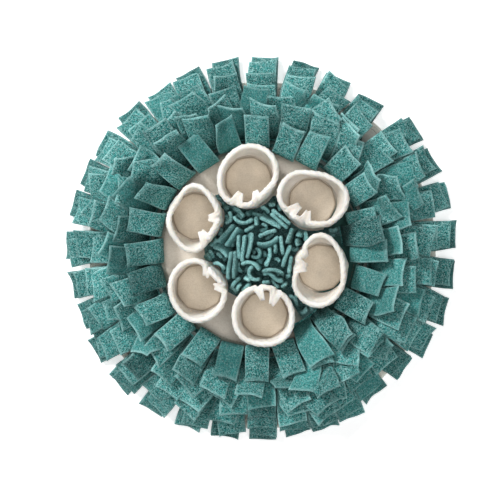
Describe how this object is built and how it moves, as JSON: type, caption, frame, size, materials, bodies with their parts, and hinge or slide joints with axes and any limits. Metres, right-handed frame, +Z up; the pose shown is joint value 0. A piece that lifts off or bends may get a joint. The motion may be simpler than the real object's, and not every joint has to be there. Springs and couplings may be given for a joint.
{
  "type": "snuffle mat",
  "caption": "Round snuffle mat of fleece: rings of fringe slit into tabs lie outward around a flat centre panel with soft standing treat cups and a tuft of strips.",
  "frame": {"origin": "centre of the base disc's underside, on the floor", "axes": "+Z up from the floor, +Y towards the side of the mat behind the cup that stands furthest from the reader, +X to the right seen from above"},
  "size_m": [0.4494, 0.4413, 0.0592],
  "materials": {
    "base_fleece": "plain cream fleece with a stitched hem",
    "panel_fleece": "soft cream fleece",
    "cup_fleece": "soft padded cream fleece",
    "fringe_fleece": "brushed teal fleece",
    "tuft_fleece": "brushed teal fleece"
  },
  "bodies": {
    "root": {"base_mat": "base_fleece", "centre_panel": "panel_fleece", "cup_1": "cup_fleece", "cup_2": "cup_fleece", "cup_3": "cup_fleece", "cup_4": "cup_fleece", "cup_5": "cup_fleece", "cup_6": "cup_fleece", "fringe_a_1": "fringe_fleece", "fringe_a_2": "fringe_fleece", "fringe_a_3": "fringe_fleece", "fringe_a_4": "fringe_fleece", "fringe_a_5": "fringe_fleece", "fringe_a_6": "fringe_fleece", "fringe_b_1": "fringe_fleece", "fringe_b_2": "fringe_fleece", "fringe_b_3": "fringe_fleece", "fringe_b_4": "fringe_fleece", "fringe_b_5": "fringe_fleece", "fringe_b_6": "fringe_fleece", "fringe_c_1": "fringe_fleece", "fringe_c_2": "fringe_fleece", "fringe_c_3": "fringe_fleece", "fringe_c_4": "fringe_fleece", "fringe_c_5": "fringe_fleece", "fringe_c_6": "fringe_fleece", "fringe_d_1": "fringe_fleece", "fringe_d_2": "fringe_fleece", "fringe_d_3": "fringe_fleece", "fringe_d_4": "fringe_fleece", "fringe_d_5": "fringe_fleece", "fringe_d_6": "fringe_fleece", "fringe_e_1": "fringe_fleece", "fringe_e_2": "fringe_fleece", "fringe_e_3": "fringe_fleece", "fringe_e_4": "fringe_fleece", "fringe_e_5": "fringe_fleece", "fringe_e_6": "fringe_fleece", "fringe_f_1": "fringe_fleece", "fringe_f_2": "fringe_fleece", "fringe_f_3": "fringe_fleece", "fringe_f_4": "fringe_fleece", "fringe_f_5": "fringe_fleece", "fringe_f_6": "fringe_fleece", "fringe_g_1": "fringe_fleece", "fringe_g_2": "fringe_fleece", "fringe_g_3": "fringe_fleece", "fringe_g_4": "fringe_fleece", "fringe_g_5": "fringe_fleece", "fringe_g_6": "fringe_fleece", "fringe_h_1": "fringe_fleece", "fringe_h_2": "fringe_fleece", "centre_tuft": "tuft_fleece"}
  },
  "joints": []
}
